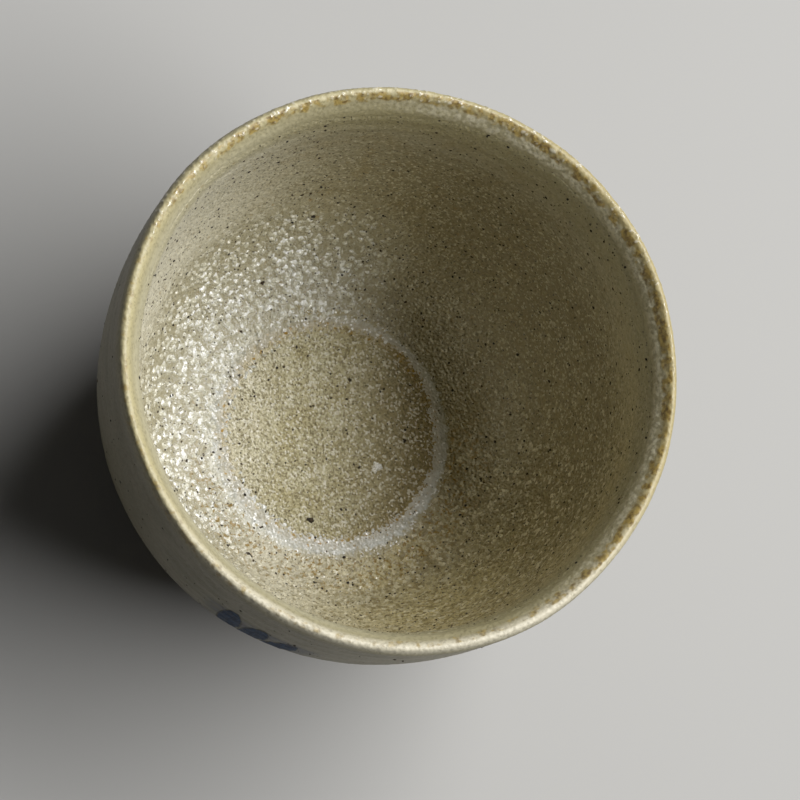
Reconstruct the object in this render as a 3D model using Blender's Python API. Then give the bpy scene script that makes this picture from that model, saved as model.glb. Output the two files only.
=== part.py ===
"""Hand-thrown stoneware tea bowl: clay body, foot ring, glaze coats and cobalt leaves.

Metres, +Z up, origin under the middle of the lip on the surface that the foot stands on.
Run with: blender --background --python part.py
"""
import math

import bmesh
import bpy

# Driving dimensions of the finished bowl
RIM_DIAMETER = 0.080        # across the glazed lip
HEIGHT = 0.060              # from the foot's underside to the top of the lip
UPRIGHT_BAND = 0.008        # straight stretch of wall below the lip
WELL_DIAMETER = 0.034       # flat floor inside, within the ring of pooled glaze
WELL_OFFSET = 0.0016        # how far the well's middle lies from the lip's, along +X
ROUNDNESS = 2.2             # fullness of the wall's turn: 2 is an ellipse, more is squarer

# Clay
CLAY_LIP = 0.0010           # thickness at the lip
CLAY_WALL = 0.0024          # thickness where the wall starts to turn in
CLAY_FLOOR = 0.0043         # thickness under the well

# Foot ring
FOOT_DIAMETER = 0.036
FOOT_HEIGHT = 0.005         # from the standing surface to the clay body's underside
FOOT_WALL = 0.0042
FOOT_TAPER = 0.0006         # how much narrower the ring is where it stands
FOOT_CHAMFER = 0.0007

# Glaze coats
GLAZE = 0.00045             # thickness of a coat
LIP_BAND = 0.0035           # how far the lip's coat reaches down, inside and out
BARE_CLAY = 0.0045          # height left bare above the foot ring, below the outside coat
POOL_DEPTH = 0.0005         # depth of the glass that ran down and set round the well
FIRED_GAP = 0.0003          # clearance between a coat and what it lies on or meets

# Cobalt leaves, brushed on the outside coat
LEAF_NAMES = ("cobalt_leaf_left", "cobalt_leaf_middle", "cobalt_leaf_right")
SPRAY_AZIMUTH = math.radians(296)
LEAF_TOP = 0.0115           # from the lip down to the first leaf's tip
LEAF_DROP = 0.0012          # how much lower each further tip is
LEAF_RISE = 0.024           # from the roots up to the first leaf's tip
LEAF_WIDTH = 0.0034
LEAF_END = 0.0008           # width of the blunt ends
TIP_PITCH = 0.0048          # between tips, along the wall
ROOT_PITCH = 0.0034         # between roots, along the wall
PIGMENT = 0.0002            # thickness of the painted layer
LEAF_BOW = 1.6              # how late a leaf bends away from its root's upright

# Unevenness left by the hands
LOBES = 3
LOBE_REACH = 0.0002         # how far the lip's soft corners stand out
LOBE_AZIMUTH = math.radians(80)

# Fineness of the mesh
SEGMENTS = 48
CURVE_STEPS = 10
LIP_STEPS = 6
LEAF_STEPS = 9

# Sizes that follow from those above
COAT = FIRED_GAP + GLAZE
CLAY_RADIUS = RIM_DIAMETER / 2 - COAT
LIP_RADIUS = CLAY_RADIUS - CLAY_LIP / 2
LIP_Z = HEIGHT - COAT - CLAY_LIP / 2
BAND_Z = HEIGHT - UPRIGHT_BAND
LIP_COAT_Z = HEIGHT - LIP_BAND
FLOOR_Z = FOOT_HEIGHT + CLAY_FLOOR
FOOT_RADIUS = FOOT_DIAMETER / 2
WELL_RADIUS = WELL_DIAMETER / 2
POOL_Z = FLOOR_Z + FIRED_GAP + POOL_DEPTH
GLAZE_LINE = FOOT_HEIGHT + BARE_CLAY

# A wall's turn: radius at its foot, reach sideways, reach down, and which way a coat moves it
OUTER_TURN = (FOOT_RADIUS, CLAY_RADIUS - FOOT_RADIUS, BAND_Z - FOOT_HEIGHT, 1)
INNER_TURN = (WELL_RADIUS, CLAY_RADIUS - CLAY_WALL - WELL_RADIUS, BAND_Z - FLOOR_Z, -1)


def turn_angle(turn, lift, height):
    """Angle on a wall's turn, 0 at its upright top, at which a face has this height."""
    reach_down = turn[2] + turn[3] * lift
    share = min(max((BAND_Z - height) / reach_down, 0.0), 1.0)
    return math.asin(share ** (ROUNDNESS / 2))


def turn_point(turn, lift, angle):
    """Radius and height on a wall's turn, for a face that lies lift away from the clay."""
    low_radius, reach_in, reach_down, side = turn
    power = 2 / ROUNDNESS
    sideways = max(math.cos(angle), 0.0) ** power
    downwards = math.sin(angle) ** power
    return (low_radius + (reach_in + side * lift) * sideways,
            BAND_Z - (reach_down + side * lift) * downwards)


def turn_run(turn, lift, first, last):
    """Points down a wall's turn between two angles."""
    span = last - first
    return [turn_point(turn, lift, first + span * step / CURVE_STEPS) for step in range(CURVE_STEPS + 1)]


def well_shift(height):
    """Sideways place of the inside's middle at a height: none at the lip, all of it at the floor."""
    return WELL_OFFSET * (HEIGHT - height) / (HEIGHT - FLOOR_Z)


def outer_rings(points):
    """Rings on the lip's own axis."""
    return [(radius, height, 0.0) for radius, height in points]


def inner_rings(points):
    """Rings that lean over with the inside of the bowl."""
    return [(radius, height, well_shift(height)) for radius, height in points]


def inner_band_radius(lift, height):
    """Radius inside the upright band, where the wall thickens down from the lip."""
    share = (LIP_Z - height) / (LIP_Z - BAND_Z)
    thickness = CLAY_LIP + (CLAY_WALL - CLAY_LIP) * share
    return CLAY_RADIUS - thickness - lift


def lip_arc(lift):
    """Points over the lip, from its outer side to its inner side."""
    radius = CLAY_LIP / 2 + lift
    angles = [math.pi * step / LIP_STEPS for step in range(LIP_STEPS + 1)]
    return [(LIP_RADIUS + radius * math.cos(a), LIP_Z + radius * math.sin(a)) for a in angles]


def lip_rings(lift):
    """Rings over the lip, the inner half leaning with the inside."""
    arc = lip_arc(lift)
    middle = len(arc) // 2
    return outer_rings(arc[:middle + 1]) + inner_rings(arc[middle + 1:])


def pressed(radius, height, centre, azimuth):
    """A point of a ring, pressed a little out of round towards the lip."""
    rise = height / HEIGHT
    swell = 1 + rise * LOBE_REACH / CLAY_RADIUS * math.cos(LOBES * (azimuth - LOBE_AZIMUTH))
    return (centre + radius * swell * math.cos(azimuth), radius * swell * math.sin(azimuth), height)


def finished(name, bm, colour, roughness):
    """Turn a closed bmesh into a named object with its own material."""
    bmesh.ops.recalc_face_normals(bm, faces=bm.faces)
    mesh = bpy.data.meshes.new(name)
    bm.to_mesh(mesh)
    bm.free()
    mesh.shade_smooth()
    mesh.set_sharp_from_angle(angle=math.radians(35))
    material = bpy.data.materials.new(name)
    material.use_nodes = True
    shader = material.node_tree.nodes["Principled BSDF"]
    shader.inputs["Base Color"].default_value = (*colour, 1.0)
    shader.inputs["Roughness"].default_value = roughness
    shader.inputs["Metallic"].default_value = 0.0
    mesh.materials.append(material)
    bpy.context.collection.objects.link(bpy.data.objects.new(name, mesh))


def turned(name, rings, colour, roughness):
    """A thrown piece: rings joined in order. One that starts on the axis also ends there."""
    bm = bmesh.new()
    loops = []
    for radius, height, centre in rings:
        if radius == 0:
            loops.append([bm.verts.new((centre, 0, height))])
            continue
        steps = [math.tau * step / SEGMENTS for step in range(SEGMENTS)]
        loops.append([bm.verts.new(pressed(radius, height, centre, a)) for a in steps])
    pairs = list(zip(loops, loops[1:]))
    if len(loops[0]) > 1:
        pairs.append((loops[-1], loops[0]))
    for near, far in pairs:
        for step in range(SEGMENTS):
            after = (step + 1) % SEGMENTS
            corners = [near[step % len(near)], near[after % len(near)],
                       far[after % len(far)], far[step % len(far)]]
            bm.faces.new(list(dict.fromkeys(corners)))
    finished(name, bm, colour, roughness)


def clay_body():
    """The thrown wall and floor, level underneath where the foot ring is luted on."""
    outer = turn_run(OUTER_TURN, 0, math.pi / 2, 0)
    inner = turn_run(INNER_TURN, 0, 0, math.pi / 2)
    rings = [(0, FOOT_HEIGHT, 0.0)]
    rings += outer_rings(outer) + lip_rings(0) + inner_rings(inner)
    rings.append((0, FLOOR_Z, well_shift(FLOOR_Z)))
    turned("clay_body", rings, (0.27, 0.21, 0.14), 0.85)


def foot_ring():
    """The ring that the bowl stands on, tapering down, with both lower edges broken."""
    top = FOOT_HEIGHT - FIRED_GAP
    outer = FOOT_RADIUS - FOOT_TAPER
    inner = FOOT_RADIUS - FOOT_WALL
    points = [(FOOT_RADIUS, top), (outer, FOOT_CHAMFER), (outer - FOOT_CHAMFER, 0),
              (inner + FOOT_CHAMFER, 0), (inner, FOOT_CHAMFER), (inner, top)]
    turned("foot_ring", outer_rings(points), (0.27, 0.21, 0.14), 0.85)


def lip_glaze():
    """The coat folded over the lip, thin enough for the iron to show through."""
    lower = [(CLAY_RADIUS + COAT, LIP_COAT_Z), (CLAY_RADIUS + FIRED_GAP, LIP_COAT_Z)]
    inner = [(inner_band_radius(lift, LIP_COAT_Z), LIP_COAT_Z) for lift in (COAT, FIRED_GAP)]
    rings = outer_rings(lower[:1]) + lip_rings(COAT) + inner_rings(inner)
    rings += lip_rings(FIRED_GAP)[::-1] + outer_rings(lower[1:])
    turned("lip_glaze", rings, (0.55, 0.46, 0.29), 0.35)


def outside_glaze():
    """The outer coat, from under the lip's coat to the glaze line above the foot."""
    top = LIP_COAT_Z - FIRED_GAP
    last = turn_angle(OUTER_TURN, FIRED_GAP, GLAZE_LINE)
    face = [(CLAY_RADIUS + COAT, top)] + turn_run(OUTER_TURN, COAT, 0, last)
    back = [(CLAY_RADIUS + FIRED_GAP, top)] + turn_run(OUTER_TURN, FIRED_GAP, 0, last)
    turned("outside_glaze", outer_rings(face + back[::-1]), (0.38, 0.34, 0.25), 0.4)


def inside_glaze():
    """The inner coat, from under the lip's coat down to the pooled ring."""
    top = LIP_COAT_Z - FIRED_GAP
    last = turn_angle(INNER_TURN, FIRED_GAP, POOL_Z + FIRED_GAP)
    face = [(inner_band_radius(COAT, top), top)] + turn_run(INNER_TURN, COAT, 0, last)
    back = [(inner_band_radius(FIRED_GAP, top), top)] + turn_run(INNER_TURN, FIRED_GAP, 0, last)
    turned("inside_glaze", inner_rings(face + back[::-1]), (0.45, 0.41, 0.30), 0.3)


def pooled_glaze_ring():
    """The glass that ran down the wall and set level round the well."""
    first = turn_angle(INNER_TURN, FIRED_GAP, POOL_Z)
    last = turn_angle(INNER_TURN, FIRED_GAP, FLOOR_Z + FIRED_GAP)
    bed = turn_run(INNER_TURN, FIRED_GAP, first, last)
    rings = inner_rings(bed + [(WELL_RADIUS, POOL_Z)])
    turned("pooled_glaze_ring", rings, (0.50, 0.54, 0.56), 0.15)


def floor_glaze():
    """The thin sandy coat on the flat of the well."""
    radius = WELL_RADIUS - FIRED_GAP
    low = FLOOR_Z + FIRED_GAP
    points = [(0, low), (radius, low), (radius, low + GLAZE), (0, low + GLAZE)]
    turned("floor_glaze", inner_rings(points), (0.36, 0.31, 0.19), 0.6)


def leaf_edge(root, tip, along, across, lift):
    """A point of a leaf, on the outside coat's face: along runs root to tip, across from -1 to 1."""
    height = root[1] + (tip[1] - root[1]) * along
    azimuth = root[0] + (tip[0] - root[0]) * along ** LEAF_BOW
    width = LEAF_END + (LEAF_WIDTH - LEAF_END) * math.sin(math.pi * along)
    radius = turn_point(OUTER_TURN, lift, turn_angle(OUTER_TURN, lift, height))[0]
    return pressed(radius, height, 0.0, azimuth + across * width / 2 / radius)


def cobalt_leaf(index):
    """One brushed leaf of the spray, a thin pad bent to the wall."""
    place = index - (len(LEAF_NAMES) - 1) / 2
    root = (SPRAY_AZIMUTH + place * ROOT_PITCH / CLAY_RADIUS, HEIGHT - LEAF_TOP - LEAF_RISE)
    tip = (SPRAY_AZIMUTH + place * TIP_PITCH / CLAY_RADIUS, HEIGHT - LEAF_TOP - index * LEAF_DROP)
    back_lift = COAT + FIRED_GAP
    around = [(-1, back_lift), (0, back_lift), (1, back_lift),
              (1, back_lift + PIGMENT), (0, back_lift + PIGMENT), (-1, back_lift + PIGMENT)]
    bm = bmesh.new()
    stations = []
    for step in range(LEAF_STEPS):
        along = step / (LEAF_STEPS - 1)
        stations.append([bm.verts.new(leaf_edge(root, tip, along, *corner)) for corner in around])
    for near, far in zip(stations, stations[1:]):
        for side in range(len(around)):
            after = (side + 1) % len(around)
            bm.faces.new((near[side], near[after], far[after], far[side]))
    bm.faces.new(stations[0])
    bm.faces.new(stations[-1])
    finished(LEAF_NAMES[index], bm, (0.03, 0.05, 0.12), 0.35)


for old in list(bpy.data.objects):
    bpy.data.objects.remove(old, do_unlink=True)
clay_body()
foot_ring()
lip_glaze()
outside_glaze()
inside_glaze()
pooled_glaze_ring()
floor_glaze()
for leaf in range(len(LEAF_NAMES)):
    cobalt_leaf(leaf)
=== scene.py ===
import math

import bpy
import numpy as np
from mathutils import Matrix, Vector


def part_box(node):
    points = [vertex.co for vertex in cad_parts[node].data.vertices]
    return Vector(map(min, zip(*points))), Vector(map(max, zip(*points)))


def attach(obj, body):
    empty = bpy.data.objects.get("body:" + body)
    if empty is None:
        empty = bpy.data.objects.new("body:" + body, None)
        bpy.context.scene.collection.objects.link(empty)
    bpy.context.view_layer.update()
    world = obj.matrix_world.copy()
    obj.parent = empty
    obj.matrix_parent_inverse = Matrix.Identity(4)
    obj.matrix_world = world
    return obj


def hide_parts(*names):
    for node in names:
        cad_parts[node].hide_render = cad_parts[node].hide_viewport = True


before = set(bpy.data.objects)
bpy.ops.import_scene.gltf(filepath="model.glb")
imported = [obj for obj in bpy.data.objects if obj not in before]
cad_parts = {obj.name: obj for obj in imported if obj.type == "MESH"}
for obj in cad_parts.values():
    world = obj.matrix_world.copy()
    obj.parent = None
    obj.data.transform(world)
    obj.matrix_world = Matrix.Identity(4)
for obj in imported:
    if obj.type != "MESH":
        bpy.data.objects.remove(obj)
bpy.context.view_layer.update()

# Thrown clay body
# The bowl itself: iron-flecked stoneware thrown on a wheel, with an upright band below the lip, a
# round belly and a flat floor. It shows bare only under the belly and inside the foot ring.
MM = 0.001
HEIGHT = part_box("lip_glaze")[1].z
CLAY_RADIUS = 39.25 * MM
BAND_Z = HEIGHT - 8.0 * MM
# The lip in section: how wide its crest is, how far it slopes down inwards and eases into the wall, how
# far its foot stands out from the wall, and how much its corners are rounded.
LIP_CREST = 1.3 * MM
LIP_SLOPE = 2.4 * MM
LIP_EASE = 4.6 * MM
LIP_FOOT = 0.35 * MM
LIP_ROUND = 0.55 * MM
COAT = 0.75 * MM
CLAY_WALL = 2.4 * MM
FOOT_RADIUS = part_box("foot_ring")[1].x
FOOT_HEIGHT = 5.0 * MM
WELL_RADIUS = 17.0 * MM
WELL_OFFSET = 1.6 * MM
CLAY_FLOOR_Z = 9.3 * MM
ROUNDNESS = 2.2
# Out of round: number of lobes, how far they reach at the lip, and the azimuth of one of them.
PRESSED = ((2, 0.05 * MM, 10), (3, 0.21 * MM, 80), (4, 0.05 * MM, 82), (7, 0.04 * MM, 36), (9, 0.04 * MM, 34))
# How much room on the bake map a row that is never seen gets, and the map's margins.
UNSEEN_ROOM = 0.06
MAP_SIDE = 0.004
MAP_END = 0.01


def profile(lift):
    """Radius, height and centre of the bowl's section, at a lift off the clay, with the arc length
    and the way out of the clay. It runs from the foot up the outside, over the lip and to the floor."""
    turn = np.linspace(0, math.pi / 2, 400)
    level = np.sin(turn) ** (2 / ROUNDNESS)
    upright = np.clip(np.cos(turn), 0, 1) ** (2 / ROUNDNESS)
    outer, inner, top = CLAY_RADIUS + lift, CLAY_RADIUS - CLAY_WALL - lift, HEIGHT - COAT + lift
    out_r = FOOT_RADIUS + (outer - FOOT_RADIUS) * upright[::-1]
    out_z = BAND_Z - (BAND_Z - FOOT_HEIGHT + lift) * level[::-1]
    # The lip's crest lies near the outside, and slopes down inwards, steeper towards the wall.
    lip_r = [outer, outer - LIP_CREST / 3, outer - LIP_CREST, inner + 3 * LIP_FOOT, inner + LIP_FOOT]
    lip_z = [top - LIP_CREST, top, top, top - LIP_SLOPE, top - LIP_EASE]
    in_r = WELL_RADIUS + (inner - WELL_RADIUS) * upright
    in_z = BAND_Z - (BAND_Z - CLAY_FLOOR_Z - lift) * level
    r = np.concatenate([out_r, lip_r, in_r, [0]])
    z = np.concatenate([out_z, lip_z, in_z, in_z[-1:]])
    s = np.concatenate([[0], np.cumsum(np.hypot(np.diff(r), np.diff(z)))])
    fine = np.linspace(0, s[-1], 6000)
    r, z = np.interp(fine, s, r), np.interp(fine, s, z)
    # Two running means round its corners, and the lip is then brought back up to its height.
    half = int(LIP_ROUND / fine[1])
    mean = np.ones(2 * half + 1) / (2 * half + 1)
    for _ in range(2):
        longer = [np.pad(v, half, mode="reflect", reflect_type="odd") for v in (r, z)]
        r, z = (np.convolve(v, mean, "valid") for v in longer)
    z = z + (top - z.max()) * np.clip((z - BAND_Z) / (z.max() - BAND_Z), 0, 1)
    inside = np.arange(len(r)) > np.argmax(z)
    shift = np.where(inside, WELL_OFFSET * (HEIGHT - z) / (HEIGHT - CLAY_FLOOR_Z), 0)
    lean = np.hypot(np.gradient(r), np.gradient(z))
    return {"s": fine, "r": r, "z": z, "shift": shift, "out_r": np.gradient(z) / lean,
            "out_z": -np.gradient(r) / lean}


def azimuths(count):
    """This many azimuths round a full turn."""
    return np.arange(count) * 2 * math.pi / count


def ring(section, s, lift, az):
    """Points at these azimuths, or at this many round a full turn, at an arc length along a section and
    a lift off it, pressed out of round. Arc length and lift are one number, or one for each point."""
    if np.isscalar(az):
        az = azimuths(az)
    r, z, shift, out_r, out_z = (np.interp(s, section["s"], section[key])
                                 for key in ("r", "z", "shift", "out_r", "out_z"))
    r, z = r + lift * out_r, z + lift * out_z
    swell = sum(reach * np.cos(lobes * (az - math.radians(at))) for lobes, reach, at in PRESSED)
    r = np.maximum(r, 0) * (1 + z / HEIGHT * swell / CLAY_RADIUS)
    return np.stack([shift + r * np.cos(az), r * np.sin(az), z + 0 * az], 1)


def level_ring(radius, z, count):
    """This many points on a level circle round the bowl's axis."""
    az = azimuths(count)
    return np.stack([radius * np.cos(az), radius * np.sin(az), 0 * az + z], 1)


def placed(name, data):
    """A new object in the scene."""
    piece = bpy.data.objects.new(name, data)
    bpy.context.scene.collection.objects.link(piece)
    return piece


def between(na, nb):
    """Faces between two rings with as many points, half, double, or one at a pole, in groups of like faces.
    A corner is the ring, 0 or 1, and the place in it."""
    j = np.arange(min(n for n in (na, nb) if n > 1))
    if na == nb:
        return j, [[(0, j), (0, j + 1), (1, j + 1), (1, j)]]
    if nb == 1:
        return j, [[(0, j), (0, j + 1), (1, j)]]
    if na == 1:
        return j, [[(0, j), (1, j + 1), (1, j)]]
    if na > nb:
        return j, [[(0, 2 * j), (0, 2 * j + 1), (1, j)], [(0, 2 * j + 1), (1, j + 1), (1, j)],
                   [(0, 2 * j + 1), (0, 2 * j + 2), (1, j + 1)]]
    return j, [[(0, j), (1, 2 * j + 1), (1, 2 * j)], [(0, j), (0, j + 1), (1, 2 * j + 1)],
               [(0, j + 1), (1, 2 * j + 2), (1, 2 * j + 1)]]


def turned(name, rings, closed, seen, chunks, **weights):
    """A mesh over rings in order. The bake map lays the turn out in chunks one above the other, with little
    room for unseen rows."""
    start = np.cumsum([0] + [len(p) for p in rings])
    step = [np.abs(a[0] - b[0]).max() + 1e-7 for a, b in zip(rings, rings[1:] + rings[:1])]
    step = [d if seen[i] and seen[(i + 1) % len(rings)] else UNSEEN_ROOM * d for i, d in enumerate(step)]
    up = np.concatenate([[0], np.cumsum(step if closed else step[:-1])])
    up = up / up[-1]
    faces, maps = [], []
    for i in range(len(rings) if closed else len(rings) - 1):
        k = (i + 1) % len(rings)
        counts = (len(rings[i]), len(rings[k]))
        j, groups = between(*counts)
        chunk = np.floor((j + 0.5) / len(j) * chunks)
        for group in groups:
            face, place = [], []
            for side, at in group:
                n = counts[side]
                face.append(start[(i, k)[side]] + (at % n))
                turn = (at / n if n > 1 else (at + 0.5) / len(j)) * chunks - chunk
                across = MAP_SIDE + (1 - 2 * MAP_SIDE) * turn
                upwards = (chunk + MAP_END + (1 - 2 * MAP_END) * up[i + side]) / chunks
                place.append(np.stack([across, upwards], 1))
            faces.append(np.stack(face, 1))
            maps.append(np.stack(place, 1))
    mesh = bpy.data.meshes.new(name)
    points = np.concatenate(rings)
    mesh.vertices.add(len(points))
    mesh.vertices.foreach_set("co", points.ravel())
    sizes = np.concatenate([np.full(len(f), f.shape[1]) for f in faces])
    mesh.loops.add(int(sizes.sum()))
    mesh.loops.foreach_set("vertex_index", np.concatenate([f.ravel() for f in faces]).astype(np.int32))
    mesh.polygons.add(len(sizes))
    mesh.polygons.foreach_set("loop_start", np.concatenate([[0], np.cumsum(sizes)[:-1]]).astype(np.int32))
    mesh.uv_layers.new(name="OFBake").data.foreach_set("uv", np.concatenate([m.ravel() for m in maps]))
    for key, values in weights.items():
        spread = np.concatenate([np.broadcast_to(v, len(p)) for v, p in zip(values, rings)])
        mesh.attributes.new(key, "FLOAT", "POINT").data.foreach_set("value", spread)
    mesh.update(calc_edges=True)
    mesh.shade_smooth()
    return placed(name, mesh)


def feed(tree, node, links):
    """Fills a node's inputs, each from a socket, a list of sockets, or a value to set."""
    for key, value in links.items():
        for one in value if isinstance(value, list) else [value]:
            if isinstance(one, bpy.types.NodeSocket):
                tree.links.new(one, node.inputs[key])
            else:
                node.inputs[key].default_value = one


def put(tree, kind, links, **settings):
    """Adds a node to a tree, with its settings and its inputs, and gives its outputs."""
    new = tree.nodes.new(kind)
    for key, value in settings.items():
        setattr(new, key, value)
    feed(tree, new, links)
    return new.outputs


def amount(tree, *parts):
    """The product of some parts. Each is a number, a socket, or a socket with the range that it is taken
    from, softly clamped, and the range that it is taken to, where that isn't 0 to 1."""
    product = None
    for part in parts:
        if isinstance(part, tuple):
            links = dict(enumerate(part))
            part = put(tree, "ShaderNodeMapRange", links, interpolation_type="SMOOTHSTEP")[0]
        if product is None:
            product = part
        else:
            product = put(tree, "ShaderNodeMath", {0: product, 1: part}, operation="MULTIPLY")[0]
    return product


# How far a drop reaches from its middle, as a share of the spacing, where the glaze is thin and thick, how
# closely the drops follow each other up the bowl, and how far each has sagged to its lower side.
DROP_REACH = (0.35, 0.52)
DROP_RUN = 0.85
DROP_SAG = 0.65


def beads(tree, at, spacing, thick):
    """Drops that a thick glaze draws up into: sagging domes on a cell pattern bent by a noise, about 1 tall,
    and a crescent along the upper edge of each, where a white highlight is painted."""
    # How many fit in a metre, for the scale of the patterns
    per = put(tree, "ShaderNodeMath", {0: 1.0, 1: spacing}, operation="DIVIDE")[0]
    at = put(tree, "ShaderNodeVectorMath", {0: at, 1: (1, 1, DROP_RUN)}, operation="MULTIPLY")[0]
    bend = put(tree, "ShaderNodeTexNoise", {"Vector": at, "Scale": per, "Detail": 1.0})[1]
    bend = put(tree, "ShaderNodeVectorMath", {0: bend, 1: (-0.5, -0.5, -0.5)}, operation="ADD")[0]
    bend = put(tree, "ShaderNodeVectorMath", {0: bend, "Scale": spacing}, operation="SCALE")[0]
    bent = put(tree, "ShaderNodeVectorMath", {0: bend, 1: at}, operation="ADD")[0]
    middle = put(tree, "ShaderNodeTexVoronoi", {"Vector": bent, "Scale": per, "Smoothness": 0.15},
                 feature="SMOOTH_F1")["Position"]
    reach = put(tree, "ShaderNodeMapRange", {0: thick, 3: DROP_REACH[0], 4: DROP_REACH[1]})[0]
    reach = put(tree, "ShaderNodeMath", {0: per, 1: reach}, operation="DIVIDE")[0]
    off = put(tree, "ShaderNodeVectorMath", {0: bent, 1: middle}, operation="SUBTRACT")[0]
    off = put(tree, "ShaderNodeVectorMath", {0: off, "Scale": reach}, operation="SCALE")[0]
    below = put(tree, "ShaderNodeVectorMath", {0: off, 1: off}, operation="DOT_PRODUCT")[1]
    dome = put(tree, "ShaderNodeMath", {0: 1.0, 1: below}, operation="SUBTRACT", use_clamp=True)[0]
    above = put(tree, "ShaderNodeSeparateXYZ", {0: off})[2]
    sag = put(tree, "ShaderNodeMath", {0: above, 1: -DROP_SAG, 2: 1.0}, operation="MULTIPLY_ADD")[0]
    return amount(tree, dome, sag), amount(tree, (above, 0.25, 0.5), (dome, 0.0, 0.3))


def grains(tree, at, size):
    """Sand in the clay, felt through the coat."""
    per = put(tree, "ShaderNodeMath", {0: 1.0, 1: size}, operation="DIVIDE")[0]
    grain = put(tree, "ShaderNodeTexNoise", {"Vector": at, "Scale": per, "Detail": 1.5})[0]
    return amount(tree, (grain, 0.3, 0.7))


def sand(tree, at, size):
    """Grains in a glaze or clay, each with a value of its own between 0 and 1."""
    grain = put(tree, "ShaderNodeTexVoronoi", {"Vector": at, "Scale": 1 / size})["Color"]
    return put(tree, "ShaderNodeSeparateColor", {0: grain})[0]


def pits(tree, at, spacing, radius):
    """Places where a bubble burst in the glaze and healed thin."""
    wander = put(tree, "ShaderNodeTexNoise", {"Vector": at, "Scale": 1 / (0.9 * MM)})[1]
    wander = put(tree, "ShaderNodeVectorMath", {0: wander, 1: (0.6 * MM,) * 3, 2: at},
                 operation="MULTIPLY_ADD")[0]
    per = put(tree, "ShaderNodeMath", {0: 1.0, 1: spacing}, operation="DIVIDE")[0]
    pit = put(tree, "ShaderNodeTexVoronoi", {"Vector": wander, "Scale": per})[0]
    return amount(tree, (amount(tree, pit, spacing), radius, 0.0))


def way_out(tree, at):
    """The level direction from the bowl's axis to a place."""
    flat = put(tree, "ShaderNodeVectorMath", {0: at, 1: (1, 1, 0)}, operation="MULTIPLY")[0]
    return put(tree, "ShaderNodeVectorMath", {0: flat}, operation="NORMALIZE")[0]


def new_tree(name, inputs):
    """A Geometry Nodes tree with these inputs, by name and kind, and one output, and its input sockets."""
    tree = bpy.data.node_groups.new(name, "GeometryNodeTree")
    for key, kind in inputs.items():
        tree.interface.new_socket(name=key, in_out="INPUT", socket_type="NodeSocket" + kind)
    tree.interface.new_socket(name="Geometry", in_out="OUTPUT", socket_type="NodeSocketGeometry")
    return tree, put(tree, "NodeGroupInput", {})


def surface_tree():
    """Geometry Nodes that raise a fired surface along its normal: beads that fade with height and away
    from the thick side, grain, pits and throwing lines, all only where the weight named skin is up. The
    place before raising, and how thick the beads are, stay on the mesh for the materials to read."""
    inputs = {"Geometry": "Geometry", "Material": "Material", "Thick Side": "Vector"}
    for size in ("Bead Spacing", "Bead Height", "Beads Full Below", "Beads Least Above", "Bead Least",
                 "Thin Side Share", "Grain Size", "Grain Height", "Pit Spacing", "Pit Radius", "Pit Depth",
                 "Throwing Pitch", "Throwing Height"):
        inputs[size] = "Float"
    tree, given = new_tree("fired_surface", inputs)
    at = put(tree, "GeometryNodeInputPosition", {})[0]
    height = put(tree, "ShaderNodeSeparateXYZ", {0: at})[2]
    skin = put(tree, "GeometryNodeInputNamedAttribute", {0: "skin"}, data_type="FLOAT")[0]
    # How thick the beads are
    patch = put(tree, "ShaderNodeTexNoise", {"Vector": at, "Scale": 1 / (9 * MM), "Detail": 1.0})[0]
    cosine = put(tree, "ShaderNodeVectorMath", {0: way_out(tree, at), 1: given["Thick Side"]},
                 operation="DOT_PRODUCT")[1]
    low_down = (height, given["Beads Full Below"], given["Beads Least Above"], 1.0, given["Bead Least"])
    thick = amount(tree, low_down, (patch, 0.3, 0.6, 0.7, 1.0),
                   (cosine, -0.2, 0.75, given["Thin Side Share"], 1.0))
    # Height off the coat's even face
    bead = amount(tree, beads(tree, at, given["Bead Spacing"], thick)[0], thick)
    grain = grains(tree, at, given["Grain Size"])
    grain = put(tree, "ShaderNodeMath", {0: grain, 1: 0.5}, operation="SUBTRACT")[0]
    pit = pits(tree, at, given["Pit Spacing"], given["Pit Radius"])
    sunk = amount(tree, given["Pit Depth"], -1.0)
    # Rings left by the fingers, which wander up and down
    loose = put(tree, "ShaderNodeTexNoise", {"Vector": at, "Scale": 1 / (14 * MM)})[0]
    winding = put(tree, "ShaderNodeMath", {0: height, 1: given["Throwing Pitch"]}, operation="DIVIDE")[0]
    winding = put(tree, "ShaderNodeMath", {0: loose, 1: 1.6, 2: winding}, operation="MULTIPLY_ADD")[0]
    winding = put(tree, "ShaderNodeMath", {0: amount(tree, winding, 2 * math.pi)}, operation="SINE")[0]
    raised = 0.0
    for relief, size in ((bead, given["Bead Height"]), (grain, given["Grain Height"]), (pit, sunk),
                         (winding, given["Throwing Height"])):
        raised = put(tree, "ShaderNodeMath", {0: relief, 1: size, 2: raised}, operation="MULTIPLY_ADD")[0]
    raised = amount(tree, raised, skin)
    normal = put(tree, "GeometryNodeInputNormal", {})[0]
    move = put(tree, "ShaderNodeVectorMath", {0: normal, "Scale": raised}, operation="SCALE")[0]
    shape = given["Geometry"]
    for name, value, kind in (("rest", at, "FLOAT_VECTOR"), ("thick", thick, "FLOAT")):
        shape = put(tree, "GeometryNodeStoreNamedAttribute",
                    {"Geometry": shape, "Name": name, "Value": value}, data_type=kind, domain="POINT")[0]
    shape = put(tree, "GeometryNodeSetPosition", {"Geometry": shape, "Offset": move})[0]
    shape = put(tree, "GeometryNodeRealizeInstances", {0: shape})[0]
    shape = put(tree, "GeometryNodeSetMaterial", {"Geometry": shape, "Material": given["Material"]})[0]
    put(tree, "NodeGroupOutput", {0: shape})
    return tree


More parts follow.
